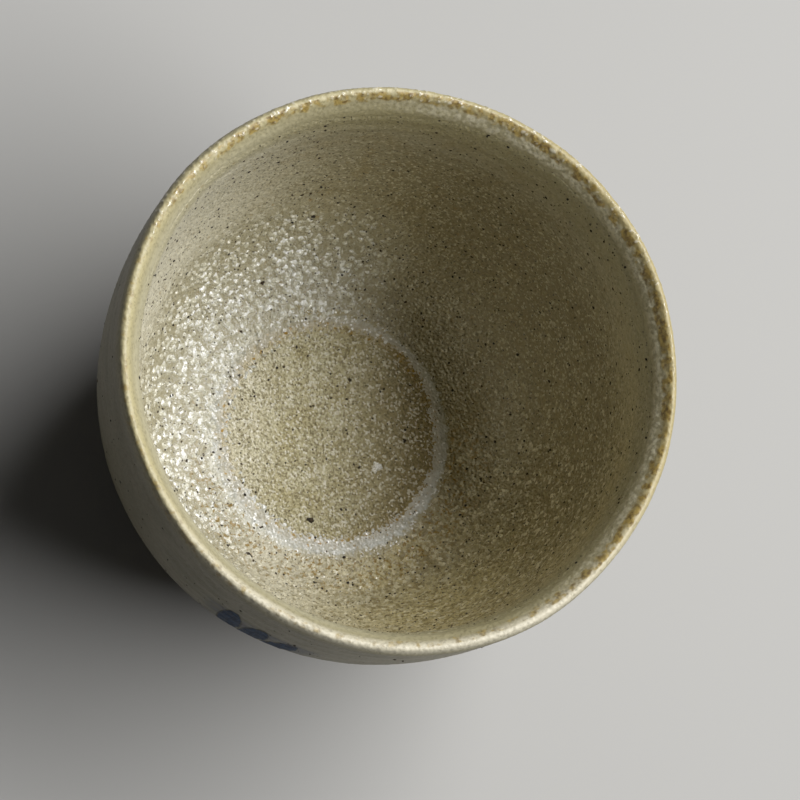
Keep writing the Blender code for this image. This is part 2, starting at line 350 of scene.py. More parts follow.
def finished(piece, tree, **inputs):
    """Runs a Geometry Nodes tree on a piece with these inputs and leaves the result as its plain mesh."""
    modifier = piece.modifiers.new(tree.name, "NODES")
    modifier.node_group = tree
    for item in tree.interface.items_tree:
        key = item.name.replace(" ", "_")
        if item.in_out == "INPUT" and key in inputs:
            modifier[item.identifier] = inputs[key]
    bpy.context.view_layer.update()
    shape = piece.evaluated_get(bpy.context.evaluated_depsgraph_get())
    mesh = bpy.data.meshes.new_from_object(shape)
    piece.modifiers.remove(modifier)
    mesh.name = piece.name
    piece.data = mesh
    return piece


def ceramic(name, surface=None):
    """A new fired material: its tree and shader, and what its colours read. That is the place on the
    coat, its height, and the relief that the surface's own Geometry Nodes sizes give."""
    mat = bpy.data.materials.new(name)
    mat.use_nodes = True
    tree = mat.node_tree
    if surface is None:
        at = put(tree, "ShaderNodeTexCoord", {})["Object"]
    else:
        at = put(tree, "ShaderNodeAttribute", {}, attribute_name="rest")["Vector"]
    read = {"at": at, "height": put(tree, "ShaderNodeSeparateXYZ", {0: at})[2]}
    if surface is not None:
        thick = put(tree, "ShaderNodeAttribute", {}, attribute_name="thick")["Fac"]
        read["ridge"], read["brow"] = beads(tree, at, surface["Bead_Spacing"], thick)
        read["bead"] = amount(tree, read["ridge"], thick)
        read["grain"] = grains(tree, at, surface["Grain_Size"])
        read["pit"] = pits(tree, at, surface["Pit_Spacing"], surface["Pit_Radius"])
        read["thick"] = thick
    return mat, tree, tree.nodes["Principled BSDF"], read


def tone(code):
    """An sRGB hex colour as linear RGBA."""
    parts = [int(code[i:i + 2], 16) / 255 for i in (1, 3, 5)]
    return tuple(c / 12.92 if c <= 0.04045 else ((c + 0.055) / 1.055) ** 2.4 for c in parts) + (1.0,)


def laid(tree, colour, over, *parts):
    """A colour with another laid over it, as far as an amount says. Each is a hex code or a socket."""
    colour, over = (tone(c) if isinstance(c, str) else c for c in (colour, over))
    return put(tree, "ShaderNodeMix", {0: amount(tree, *parts), 6: colour, 7: over}, data_type="RGBA")[2]


def crisp(tree, read, surface, share, tooth):
    """The normal of relief finer than the mesh: a share of the grain once more, and a tooth this deep."""
    rough = put(tree, "ShaderNodeTexNoise", {"Vector": read["at"], "Scale": 1 / (0.2 * MM)})[0]
    height = amount(tree, rough, tooth / MM)
    grain = share * surface["Grain_Height"] / MM
    height = put(tree, "ShaderNodeMath", {0: read["grain"], 1: grain, 2: height}, operation="MULTIPLY_ADD")[0]
    return put(tree, "ShaderNodeBump", {"Height": height, "Strength": 1.0, "Distance": MM})[0]


def bare_stoneware():
    """Unglazed stoneware: dry and sandy, toasted brown in the kiln, with iron flecks burnt through it."""
    mat, tree, shader, read = ceramic("bare_stoneware", CLAY_SURFACE)
    drift = put(tree, "ShaderNodeTexNoise", {"Vector": read["at"], "Scale": 1 / (7 * MM), "Detail": 3.0})[0]
    colour = laid(tree, "#8d7452", "#a8926c", (drift, 0.35, 0.65))
    colour = laid(tree, "#826a48", colour, (read["grain"], 0.1, 0.7))
    grain = sand(tree, read["at"], 0.3 * MM)
    colour = laid(tree, colour, "#5d492e", (grain, 0.3, 0.0, 0.0, 0.5))
    colour = laid(tree, colour, "#c4b08a", (grain, 0.75, 1.0, 0.0, 0.45))
    colour = laid(tree, colour, "#5a4630", read["pit"])
    fleck = put(tree, "ShaderNodeTexVoronoi", {"Vector": read["at"], "Scale": 1 / (1.5 * MM)})[0]
    colour = laid(tree, colour, "#241b12", (fleck, 0.12, 0.07))
    feed(tree, shader, {"Base Color": colour,
                        "Roughness": amount(tree, (read["grain"], 0.0, 1.0, 0.92, 0.78)),
                        "Normal": crisp(tree, read, CLAY_SURFACE, 0.4, 0.02 * MM)})
    return mat


FIRED = surface_tree()
CLAY_SURFACE = dict(Bead_Spacing=1.2 * MM, Bead_Height=0.0, Beads_Full_Below=0.0, Beads_Least_Above=10 * MM,
                    Bead_Least=0.0, Thick_Side=(0, 0, 0), Thin_Side_Share=1.0, Grain_Size=0.5 * MM,
                    Grain_Height=0.09 * MM, Pit_Spacing=2.2 * MM, Pit_Radius=0.35 * MM, Pit_Depth=0.12 * MM,
                    Throwing_Pitch=1.1 * MM, Throwing_Height=0.03 * MM)
BARE_CLAY = bare_stoneware()
CLAY_POINTS = 288
FINE_FROM = 5 * MM
# In mm: steps along the section, how wide the underside is, and how far up the belly the clay is bare.
CLAY_STEP = 0.25
WIDE_STEP = 3.0
UNDERSIDE = 18.0
BARE_UP_TO = 9.0
clay_section = profile(0.0)
coat_section = profile(COAT)
s_end = coat_section["s"][-1]
clay_rings = [np.array([[0, 0, FOOT_HEIGHT]])]
clay_seen = [1.0]
# Across the underside, finer further out, then up the bare belly, and in wide steps under the coats
for radius in np.arange(CLAY_STEP, UNDERSIDE, CLAY_STEP) * MM:
    count = min(CLAY_POINTS, 2 * len(clay_rings[-1])) if radius > FINE_FROM else CLAY_POINTS // 4
    clay_rings.append(level_ring(radius, FOOT_HEIGHT, count))
    clay_seen.append(1.0)
bare, covered = np.arange(0.0, BARE_UP_TO, CLAY_STEP), np.arange(BARE_UP_TO, 150.0, WIDE_STEP)
for s in np.concatenate([bare, covered]) * MM:
    if s < clay_section["s"][-1] - 2 * MM:
        clay_rings.append(ring(clay_section, s, 0.0, CLAY_POINTS))
        clay_seen.append(1.0 if s < BARE_UP_TO * MM else 0.0)
clay_rings.append(np.array([[WELL_OFFSET, 0, CLAY_FLOOR_Z]]))
clay_seen.append(0.0)
clay = turned("thrown_clay", clay_rings, closed=False, seen=clay_seen, chunks=2, skin=clay_seen)
finished(clay, FIRED, Material=BARE_CLAY, **CLAY_SURFACE)
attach(clay, "root")
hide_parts("clay_body")

# Foot ring
# A ring of the same clay under the floor, trimmed with a tool while the bowl turned upside down, so
# it has fine turning lines, a softened edge and a standing face worn a little smooth.
FOOT_WALL = 4.2 * MM
FOOT_TAPER = 0.6 * MM
FOOT_EDGE = 0.7 * MM
FOOT_SINK = 0.3 * MM
FOOT_STEP = 0.25 * MM
FOOT_POINTS = 480
foot_outline = [(FOOT_RADIUS - FOOT_TAPER, FOOT_EDGE), (FOOT_RADIUS, FOOT_HEIGHT + FOOT_SINK),
                (FOOT_RADIUS - FOOT_WALL, FOOT_HEIGHT + FOOT_SINK),
                (FOOT_RADIUS - FOOT_WALL + FOOT_TAPER, FOOT_EDGE),
                (FOOT_RADIUS - FOOT_WALL + FOOT_TAPER + FOOT_EDGE, 0.0),
                (FOOT_RADIUS - FOOT_TAPER - FOOT_EDGE, 0.0)]
foot_rings, foot_skin = [], []
for (r0, z0), (r1, z1) in zip(foot_outline, foot_outline[1:] + foot_outline[:1]):
    steps = max(2, int(math.hypot(r1 - r0, z1 - z0) / FOOT_STEP))
    for step in np.arange(steps) / steps:
        z = z0 + (z1 - z0) * step
        foot_rings.append(level_ring(r0 + (r1 - r0) * step, z, FOOT_POINTS))
        foot_skin.append(0.0 if z < 0.01 * MM else 1.0)
foot_seen = [1.0] * len(foot_rings)
foot = turned("trimmed_foot", foot_rings, closed=True, seen=foot_seen, chunks=3, skin=foot_skin)
finished(foot, FIRED, Material=BARE_CLAY, **CLAY_SURFACE)
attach(foot, "root")
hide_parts("foot_ring")

# Outside glaze
# Ash glaze poured over the outer wall, grey-beige and satin, speckled by the clay's iron. It stops
# in a rolled, wavering line above the foot, and is modelled as two bands that lap each other.
LAP = 0.6 * MM
LAP_SINK = 0.08 * MM
COAT_BACK = 0.5 * MM
ROLL_WIDTH = 0.9 * MM
ROLL_RISE = 0.12 * MM
GLAZE_LINE = 9.5 * MM
BELLY_TOP = 33 * MM
OUTSIDE_STEP = 0.36 * MM
LIP_DEPTH = 3.5 * MM
spray_low, spray_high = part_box("cobalt_leaf_middle")
SPRAY_AZIMUTH = math.degrees(math.atan2(spray_low.y + spray_high.y, spray_low.x + spray_high.x))
SPRAY_FOOT, SPRAY_TOP = spray_low.z, spray_high.z
OUTSIDE_SURFACE = dict(CLAY_SURFACE, Bead_Spacing=1.0 * MM, Bead_Height=0.05 * MM, Beads_Full_Below=10 * MM,
                       Beads_Least_Above=50 * MM, Bead_Least=0.4, Grain_Size=0.55 * MM,
                       Grain_Height=0.045 * MM, Pit_Spacing=3.0 * MM, Pit_Depth=0.06 * MM,
                       Throwing_Pitch=4.0 * MM, Throwing_Height=0.05 * MM)


def place_of(z, inside):
    """Arc length along the coat's section where it passes a height, on the outside or the inside."""
    top = int(np.argmax(coat_section["z"]))
    part = slice(top, None) if inside else slice(0, top)
    order = np.argsort(coat_section["z"][part], kind="stable")
    return float(np.interp(z, coat_section["z"][part][order], coat_section["s"][part][order]))


def coat(name, s0, s1, step, chunks, drips=None):
    """A closed band of glaze between two arc lengths, as a thin shell with faces of this size. Its ends run
    on by a lap and sink under the next band. With drips, a function of the azimuth, its first end is a free
    rolled edge."""
    # A multiple of 12 points, which splits evenly into 3 or 4 chunks
    count = 12 * int(2 * math.pi * np.interp((s0 + s1) / 2, coat_section["s"], coat_section["r"]) / step / 12)
    if drips is not None:
        drips = drips(azimuths(count))
    rings, seen = [], []
    for s in np.linspace(s0 - LAP, s1 + LAP, int((s1 - s0 + 2 * LAP) / step)):
        past = max(s0 - s, s - s1, 0.0)
        if drips is None or s > (s0 + s1) / 2:
            rings.append(ring(coat_section, s, -LAP_SINK * (past / LAP) ** 2, count))
        else:
            near = 1 - np.clip((s - s0 + LAP) / (s1 - s0), 0, 1)
            edge = (s - s0 + LAP) / ROLL_WIDTH
            lift = -COAT * max(0.0, 1 - edge) ** 2 + ROLL_RISE * math.exp(-((edge - 1.3) / 0.8) ** 2)
            rings.append(ring(coat_section, s + drips * near ** 2, lift, count))
        seen.append(1.0)
    for s in np.linspace(s1 + LAP, s0 - LAP, 4):
        near = 1 - np.clip((s - s0 + LAP) / (s1 - s0), 0, 1)
        run = 0.0 if drips is None else drips * near ** 2
        rings.append(ring(coat_section, s + run, -COAT_BACK - LAP_SINK, count))
        seen.append(0.0)
    return turned(name, rings, closed=True, seen=seen, chunks=chunks, skin=seen)


def waver(az, *waves):
    """How far a hand-made line wavers at these azimuths. Each wave is its reach, number and phase."""
    return sum(reach * np.cos(number * az + phase) for reach, number, phase in waves)


def glaze_line(az):
    """How far the free edge of the glaze wavers up or down at these azimuths."""
    return MM * waver(az, (0.5, 2, 0.6), (0.35, 5, 2.0), (0.22, 9, 1.1), (0.12, 17, 0.0))


def side_at(azimuth):
    """The level direction from the bowl's axis to an azimuth in degrees."""
    return math.cos(math.radians(azimuth)), math.sin(math.radians(azimuth)), 0


def facing(tree, read, azimuth, start, end, low=0.0, high=1.0):
    """How far a place lies towards one side of the bowl: its cosine off an azimuth in degrees, as a range."""
    cosine = put(tree, "ShaderNodeVectorMath", {0: way_out(tree, read["at"]), 1: side_at(azimuth)},
                 operation="DOT_PRODUCT")[1]
    return amount(tree, (cosine, start, end, low, high))


def outside_colour(tree, read):
    """Grey-beige of the outer wall, darker low on the belly, blue round the strokes, with amber pits."""
    colour = laid(tree, "#9c9477", "#aca488", (read["height"], 15 * MM, 50 * MM))
    drift = put(tree, "ShaderNodeTexNoise", {"Vector": read["at"], "Scale": 1 / (8 * MM), "Detail": 3.0})[0]
    colour = laid(tree, colour, "#878062", (drift, 0.35, 0.7, 0.0, 0.5))
    colour = laid(tree, colour, "#857b5c", (read["grain"], 0.5, 0.1, 0.0, 0.35))
    # Cobalt that bled from the brush strokes into the glaze round them
    bled = put(tree, "ShaderNodeTexNoise", {"Vector": read["at"], "Scale": 1 / (3 * MM)})[0]
    colour = laid(tree, colour, "#2b3a50", facing(tree, read, SPRAY_AZIMUTH, 0.968, 0.99),
                  (bled, 0.3, 0.6, 0.5, 1.0),
                  (read["height"], SPRAY_TOP + 0.5 * MM, SPRAY_TOP - 1.5 * MM),
                  (read["height"], SPRAY_FOOT, SPRAY_TOP - 3 * MM), 0.8)
    return laid(tree, colour, "#8a6c30", read["pit"], 0.7)


def outside_ash():
    """Satin ash glaze: grey-beige with amber pits and a soft sheen."""
    mat, tree, shader, read = ceramic("outside_ash_glaze", OUTSIDE_SURFACE)
    feed(tree, shader, {"Base Color": outside_colour(tree, read),
                        "Roughness": amount(tree, (read["bead"], 0.0, 0.6, 0.46, 0.34)),
                        "Normal": crisp(tree, read, OUTSIDE_SURFACE, 0.5, 0.008 * MM)})
    return mat


OUTSIDE_ASH = outside_ash()
s_line = place_of(GLAZE_LINE, False)
s_belly = place_of(BELLY_TOP, False)
s_lip_out = place_of(HEIGHT - LIP_DEPTH, False)
outside_coats = []
for name, s0, s1, edge in (("outside_glaze_belly", s_line + LAP, s_belly, glaze_line),
                           ("outside_glaze_upper", s_belly, s_lip_out, None)):
    band = coat(name, s0, s1, OUTSIDE_STEP, chunks=3, drips=edge)
    finished(band, FIRED, Material=OUTSIDE_ASH, **OUTSIDE_SURFACE)
    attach(band, "root")
    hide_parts("outside_glaze")
    outside_coats.append(band)

# Lip glaze
# The same glaze where it ran thin over the lip: a pale crest near the outside, and inside it a slope
# that breaks to amber and brown over the iron clay, most of all on the far side.
# Sides of the bowl, as azimuths in degrees.
AMBER_AZIMUTH = 95
INNER_AZIMUTH = 70
NEAR_AZIMUTH = 325
BUMPY_AZIMUTH = 140
# The side of the inside whose glaze is painted paler as painted light, where the wall faces the lamp
PAINTED_LIGHT_AZIMUTH = 245
GLASS_IOR = 1.8
LIP_STEP = 0.19 * MM
SAND_SIZE = 0.32 * MM
# The two heights are given in reverse, so that the beads are full on the crest and gone below it.
LIP_SURFACE = dict(OUTSIDE_SURFACE, Bead_Spacing=0.9 * MM, Bead_Height=0.11 * MM,
                   Beads_Full_Below=HEIGHT - 0.3 * MM, Beads_Least_Above=HEIGHT - 2.5 * MM, Bead_Least=0.0,
                   Thick_Side=side_at(BUMPY_AZIMUTH), Thin_Side_Share=0.35)


def off_axis(tree, read, shift=0.0):
    """How far a place is from the bowl's axis, or from one shifted along X."""
    off = put(tree, "ShaderNodeVectorMath", {0: read["at"], 1: (shift, 0, 0)}, operation="SUBTRACT")[0]
    off = put(tree, "ShaderNodeVectorMath", {0: off, 1: (1, 1, 0)}, operation="MULTIPLY")[0]
    return put(tree, "ShaderNodeVectorMath", {0: off}, operation="LENGTH")[1]


def under_lip(tree, read):
    """Olive-beige of the smooth glaze under the lip, painted paler as painted light on the side that faces
    the lamp.
    """
    return laid(tree, "#b2a981", "#cbc4a4", facing(tree, read, PAINTED_LIGHT_AZIMUTH, -0.2, 0.7))


def breaking(tree, read, colour):
    """A colour with the band of amber and brown that the glaze breaks to where it is thin on the crest. The
    band lies further in on the right of the picture, and is fainter on the near side."""
    inwards = facing(tree, read, INNER_AZIMUTH, -0.9, 0.2, 0.4 * MM, 1.3 * MM)
    out = put(tree, "ShaderNodeMath", {0: off_axis(tree, read), 1: inwards}, operation="ADD")[0]
    edge = CLAY_RADIUS + COAT
    thin = amount(tree, (out, edge - 1.4 * MM, edge - 0.7 * MM), (out, edge + 0.5 * MM, edge),
                  (read["height"], HEIGHT - 2.2 * MM, HEIGHT - 1.2 * MM),
                  facing(tree, read, AMBER_AZIMUTH, -0.6, 0.3, 0.7, 1.0))
    patch = put(tree, "ShaderNodeTexNoise", {"Vector": read["at"], "Scale": 1 / (1.3 * MM), "Detail": 3.0})[0]
    mottle = put(tree, "ShaderNodeMath", {0: thin, 1: 0.35, 2: patch}, operation="MULTIPLY_ADD")[0]
    brown = put(tree, "ShaderNodeTexNoise", {"Vector": read["at"], "Scale": 1 / (0.6 * MM)})[0]
    amber = laid(tree, "#b99f54", "#83692f", (brown, 0.4, 0.65))
    return laid(tree, colour, amber, thin, (mottle, 0.72, 0.92, 0.0, 0.95))


def lip_ash():
    """Ash glaze on an edge: satin, pale on the crest with amber and brown mottles and white highlights
    painted on its beads, cream on the slope, painted paler as painted light where the slope faces away from
    the lamp.
    """
    mat, tree, shader, read = ceramic("lip_ash_glaze", LIP_SURFACE)
    height = read["height"]
    crest = amount(tree, (height, HEIGHT - 1.4 * MM, HEIGHT - 0.2 * MM))
    golden = laid(tree, "#cdc295", "#e6dec4", facing(tree, read, NEAR_AZIMUTH, 0.3, 0.95))
    golden = laid(tree, golden, "#b3a066", facing(tree, read, INNER_AZIMUTH, 0.2, 0.9, 0.0, 0.6))
    colour = laid(tree, "#b9b08a", golden, crest)
    # Below the crest it takes the colour of the coat that it runs into, outside and inside
    inner = amount(tree, (off_axis(tree, read), CLAY_RADIUS + 0.2 * MM, CLAY_RADIUS - 0.6 * MM))
    below = laid(tree, outside_colour(tree, read), under_lip(tree, read), inner)
    colour = laid(tree, colour, below, (height, HEIGHT - 0.8 * MM, HEIGHT - 2.6 * MM))
    # Cream painted on the inner slope on the lamp's side of the bowl, which faces away from the lamp and so
    # lies in shade: painted light
    patch = put(tree, "ShaderNodeTexNoise", {"Vector": read["at"], "Scale": 1 / (0.8 * MM)})[0]
    colour = laid(tree, colour, "#e9e2c6", inner, facing(tree, read, INNER_AZIMUTH, 0.0, 0.8),
                  (height, HEIGHT - 0.4 * MM, HEIGHT - 1.2 * MM),
                  (height, HEIGHT - 3.4 * MM, HEIGHT - 2.0 * MM), (patch, 0.4, 0.6, 0.2, 1.0))
    colour = laid(tree, colour, "#6f6440", (sand(tree, read["at"], SAND_SIZE), 0.35, 0.05, 0.0, 0.25))
    colour = breaking(tree, read, colour)
    # White highlights painted on the beads along the crest
    colour = laid(tree, colour, "#f6f1de", (read["bead"], 0.45, 0.9), crest, 0.6)
    feed(tree, shader, {"Base Color": colour, "Roughness": amount(tree, (read["bead"], 0.1, 0.7, 0.55, 0.18)),
                        "IOR": GLASS_IOR, "Normal": crisp(tree, read, LIP_SURFACE, 0.4, 0.01 * MM)})
    return mat


s_lip_in = place_of(HEIGHT - LIP_DEPTH, True)
lip = coat("lip_glaze_roll", s_lip_out, s_lip_in, LIP_STEP, chunks=4)
finished(lip, FIRED, Material=lip_ash(), **LIP_SURFACE)
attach(lip, "root")
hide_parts("lip_glaze")

# Inside glaze
# Ash glaze poured inside and out again: smooth below the lip, and lower down drawn up in glossy
# drops where it is thick. It is modelled as bands that lap each other, with finer faces lower down.
# More sides of the bowl, as azimuths in degrees.
THICK_AZIMUTH = 203
# The near side: toasted, with amber dots and coarser grit, and its base tone also painted paler there as
# painted light
TOASTED_AND_LIT_AZIMUTH = 335
# The side painted darker olive as painted shade, where the inside wall faces away from the lamp
PAINTED_SHADE_AZIMUTH = 75
INSIDE_SURFACE = dict(OUTSIDE_SURFACE, Bead_Height=0.48 * MM, Beads_Full_Below=14 * MM,
                      Beads_Least_Above=33 * MM, Bead_Least=0.04, Thick_Side=side_at(THICK_AZIMUTH),
                      Thin_Side_Share=0.3, Grain_Size=0.4 * MM, Grain_Height=0.1 * MM, Pit_Spacing=2.6 * MM,
                      Pit_Radius=0.45 * MM, Pit_Depth=0.1 * MM, Throwing_Pitch=3.4 * MM)


def inside_ash():
    """Beaded ash glaze: pale glossy drops with white highlights painted on their upper edges and olive
    hollows darkened as painted shade, satin and olive-beige near the lip, painted paler on the side facing
    the lamp and darker on the side away from it.
    """
    mat, tree, shader, read = ceramic("inside_ash_glaze", INSIDE_SURFACE)
    at, height, thick = read["at"], read["height"], read["thick"]
    # Base tone, paler and yellower on the near side: partly its own toasted tone, partly painted light
    colour = laid(tree, "#b1a98c", "#cfc08c", facing(tree, read, TOASTED_AND_LIT_AZIMUTH, -0.5, 0.9))
    # Bands left by the fingers, darker where the glaze lay in them
    banded = put(tree, "ShaderNodeVectorMath", {0: at, 1: (0.12, 0.12, 1.0)}, operation="MULTIPLY")[0]
    band = put(tree, "ShaderNodeTexNoise", {"Vector": banded, "Scale": 1 / (2.5 * MM)})[0]
    colour = laid(tree, colour, "#8e8462", (band, 0.45, 0.7, 0.0, 0.45))
    drift = put(tree, "ShaderNodeTexNoise", {"Vector": at, "Scale": 1 / (4 * MM), "Detail": 3.0})[0]
    colour = laid(tree, colour, "#a08c58", (drift, 0.45, 0.7, 0.0, 0.4))
    # The sides of the bowl: smooth under the lip, painted paler as painted light where the wall faces the
    # lamp, and painted darker olive as painted shade where it faces away
    colour = laid(tree, colour, under_lip(tree, read), (height, HEIGHT - 12 * MM, HEIGHT - LIP_DEPTH))
    painted_light_side = facing(tree, read, PAINTED_LIGHT_AZIMUTH, -0.2, 0.7)
    colour = laid(tree, colour, "#e4dfca", painted_light_side, (height, HEIGHT - LIP_DEPTH, HEIGHT - 8 * MM, 0.0, 0.95))
    colour = laid(tree, colour, "#7a6d40", facing(tree, read, PAINTED_SHADE_AZIMUTH, 0.0, 0.85),
                  (height, HEIGHT - 8 * MM, HEIGHT - 24 * MM), 0.75)
    colour = laid(tree, colour, "#d3cfb9", (thick, 0.1, 0.8))
    # Sand that shows through below the smooth band under the lip, coarser on the near side
    grain = sand(tree, at, SAND_SIZE)
    sandy = amount(tree, (height, HEIGHT - 4 * MM, HEIGHT - 18 * MM, 0.35, 1.0), (painted_light_side, 0.0, 1.0, 1.0, 0.75),
                   (thick, 0.0, 0.8, 1.0, 0.7))
    colour = laid(tree, colour, "#6f6440", sandy, (grain, 0.35, 0.05, 0.0, 0.6))
    colour = laid(tree, colour, "#ddd6ba", sandy, (grain, 0.7, 1.0, 0.0, 0.6))
    coarse = sand(tree, at, 0.55 * MM)
    gritty = amount(tree, facing(tree, read, TOASTED_AND_LIT_AZIMUTH, -0.2, 0.7), sandy)
    colour = laid(tree, colour, "#7a6a38", gritty, (coarse, 0.3, 0.1, 0.0, 0.75))
    colour = laid(tree, colour, "#efe7c8", gritty, (coarse, 0.8, 0.95, 0.0, 0.75))
    # Fine white bubbles, thickest where the glaze ran together low on the wall, with white sparkle highlights
    # painted on some grains there
    milky = amount(tree, (thick, 0.1, 0.8, 0.05, 1.0), (height, 20 * MM, 11 * MM, 0.0, 0.8))
    colour = laid(tree, colour, "#d9dad4", milky, 0.3)
    colour = laid(tree, colour, "#f6f7f4", milky, (grain, 0.7, 0.9))
    # Hollows between the drops, darkened olive as painted shade, and a white highlight painted on the upper
    # edge of each drop
    colour = laid(tree, colour, "#7f7242", (read["ridge"], 0.2, 0.0), (thick, 0.0, 0.6, 0.1, 0.6))
    colour = laid(tree, colour, "#fdfdfa", read["brow"], (thick, 0.3, 1.0, 0.0, 0.95))
    # Dark flecks, amber dots low on the near side, and amber in the pits
    fleck = put(tree, "ShaderNodeTexVoronoi", {"Vector": at, "Scale": 1 / (0.95 * MM)})[0]
    colour = laid(tree, colour, "#3a3220", (fleck, 0.19, 0.09, 0.0, 0.9))
    dots = put(tree, "ShaderNodeTexNoise", {"Vector": at, "Scale": 1 / (0.7 * MM), "Detail": 3.0})[0]
    colour = laid(tree, colour, "#8c6e08", facing(tree, read, TOASTED_AND_LIT_AZIMUTH, -0.3, 0.6),
                  (height, 14.5 * MM, 11 * MM), (dots, 0.54, 0.64), 0.9)
    colour = laid(tree, colour, "#937636", read["pit"], 0.6)
    feed(tree, shader, {"Base Color": colour, "Roughness": amount(tree, (read["bead"], 0.02, 0.2, 0.5, 0.1)),
                        "IOR": GLASS_IOR, "Normal": crisp(tree, read, INSIDE_SURFACE, 0.5, 0.01 * MM)})
    return mat


INSIDE_ASH = inside_ash()
# In mm: the height where each band ends, and the size of its faces.
BAND_ENDS = (40, 32, 24, 19, 15, 12, 10.15)
BAND_STEPS = (0.25, 0.16, 0.16, 0.125, 0.125, 0.125, 0.125)
inside_coats = []
edges = [s_lip_in] + [place_of(z * MM, True) for z in BAND_ENDS]
for index, (s0, s1, step) in enumerate(zip(edges, edges[1:], BAND_STEPS)):
    band = coat("inside_glaze_%d" % (index + 1), s0, s1, step * MM, chunks=3)
    finished(band, FIRED, Material=INSIDE_ASH, **INSIDE_SURFACE)
    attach(band, "root")
    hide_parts("inside_glaze")
    inside_coats.append(band)

# Floor glaze
# A thin, dry coat on the flat of the floor, where sand in the clay shows through: pale grains with
# dark gaps, and rust towards its edge. It runs on under the pooled ring.
FLOOR_REACH = 19.2 * MM
FLOOR_STEP = 0.13 * MM
FLOOR_POINTS = 1008
# The side of the floor that lies in the rim's shadow, browner there partly in its own colour and partly as
# painted shade
SHADED_BROWN_AZIMUTH = 45
RUST_RADIUS = 16.9 * MM
RUST_SPACING = 1.0 * MM
RUST_DOT = 0.4 * MM
FINE_SAND = 0.3 * MM
FLOOR_SURFACE = dict(OUTSIDE_SURFACE, Bead_Spacing=0.45 * MM, Bead_Height=0.04 * MM, Beads_Full_Below=70 * MM,
                     Beads_Least_Above=80 * MM, Bead_Least=1.0, Grain_Size=0.34 * MM, Grain_Height=0.16 * MM,
                     Pit_Spacing=2.6 * MM, Pit_Radius=0.3 * MM, Pit_Depth=0.05 * MM, Throwing_Height=0.0)


def rusted(tree, read, colour):
    """A colour with rust dots strung along the line where the thin coat meets the pooled ring."""
    radius = off_axis(tree, read, WELL_OFFSET)
    line = amount(tree, (radius, RUST_RADIUS - 1.6 * MM, RUST_RADIUS),
                  (radius, RUST_RADIUS + 2.2 * MM, RUST_RADIUS))
    colour = laid(tree, colour, "#a58a4e", line, 0.25)
    dot = pits(tree, read["at"], RUST_SPACING, RUST_DOT)
    patch = put(tree, "ShaderNodeTexNoise", {"Vector": read["at"], "Scale": 1 / (1.6 * MM)})[0]
    return laid(tree, colour, "#9f7f2c", (dot, 0.1, 0.5), (line, 0.2, 0.7), (patch, 0.45, 0.6, 0.15, 1.0))


def floor_ash():
    """Thin sandy glaze: matt, a mix of pale, olive and dark grains, with rust near the pooled ring, painted
    paler on the lit side and browner and darker towards the shaded side.
    """
    mat, tree, shader, read = ceramic("floor_sandy_glaze", FLOOR_SURFACE)
    drift = put(tree, "ShaderNodeTexNoise", {"Vector": read["at"], "Scale": 1 / (5 * MM), "Detail": 3.0})[0]
    colour = laid(tree, "#cac3a2", "#b9af87", (drift, 0.35, 0.7))
    # Painted paler on the lit side of the floor as painted light, and browner and darker towards the side in
    # the rim's shadow, partly its own brown and partly painted shade
    side = put(tree, "ShaderNodeVectorMath", {0: read["at"], 1: side_at(SHADED_BROWN_AZIMUTH)},
               operation="DOT_PRODUCT")[1]
    colour = laid(tree, colour, "#dcd6be", (side, -4 * MM, -16 * MM, 0.0, 0.8))
    colour = laid(tree, colour, "#887746", (side, -2 * MM, 18 * MM, 0.0, 0.85))
    colour = laid(tree, colour, "#8b8059", (read["grain"], 0.5, 0.1, 0.0, 0.5))
    grain = sand(tree, read["at"], FINE_SAND)
    colour = laid(tree, colour, "#6c6140", (grain, 0.35, 0.0, 0.0, 0.65))
    colour = laid(tree, colour, "#efebdd", (grain, 0.65, 1.0, 0.0, 0.75))
    feed(tree, shader, {"Base Color": rusted(tree, read, colour),
                        "Roughness": amount(tree, (grain, 0.6, 1.0, 0.6, 0.25)),
                        "Normal": crisp(tree, read, FLOOR_SURFACE, 0.8, 0.04 * MM)})
    return mat


floor_z = coat_section["z"][-1]
floor_rings, floor_seen = [np.array([[WELL_OFFSET, 0, floor_z - COAT_BACK]])], [0.0]
under = [(reach, -COAT_BACK, 0.0) for reach in np.linspace(4 * MM, FLOOR_REACH, 4)]
over = [(reach, -0.1 * max(reach - RUST_RADIUS - 0.6 * MM, 0), 1.0)
        for reach in np.arange(FLOOR_REACH, FLOOR_STEP, -FLOOR_STEP)]
for reach, lift, shown in under + over:
    count = FLOOR_POINTS
    while count % 2 == 0 and shown and 2 * math.pi * reach < 0.6 * FLOOR_STEP * count:
        count //= 2
    floor_rings.append(ring(coat_section, s_end - reach, lift, count))
    floor_seen.append(shown)
floor_rings.append(np.array([[WELL_OFFSET, 0, floor_z]]))
floor_seen.append(1.0)
floor_coat = turned("floor_glaze_disc", floor_rings, closed=False, seen=floor_seen, chunks=3, skin=floor_seen)
finished(floor_coat, FIRED, Material=floor_ash(), **FLOOR_SURFACE)
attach(floor_coat, "root")
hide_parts("floor_glaze")
inside_coats.append(floor_coat)

# Pooled glaze ring
# Glaze that ran down the wall in the kiln and set as an uneven ring of bluish white glass round the
# floor. It is widest on the near side, and beaded like the wall on the thick side.
POOL_RADIUS = 17.9 * MM
POOL_WIDTH = 1.25 * MM
POOL_RISE = 0.1 * MM
# In mm: from the floor's middle to the ring's two edges, and the size of its faces.
POOL_OUTER = 20.6
POOL_INNER = 15.5
POOL_STEP = 0.1
POOL_WIDEST = math.radians(300)
POOL_SURFACE = dict(FLOOR_SURFACE, Bead_Spacing=0.9 * MM, Bead_Height=0.36 * MM,
                    Thick_Side=side_at(THICK_AZIMUTH), Thin_Side_Share=0.3, Grain_Size=0.35 * MM,
                    Grain_Height=0.06 * MM, Pit_Spacing=2.2 * MM, Pit_Radius=0.4 * MM, Pit_Depth=0.12 * MM)


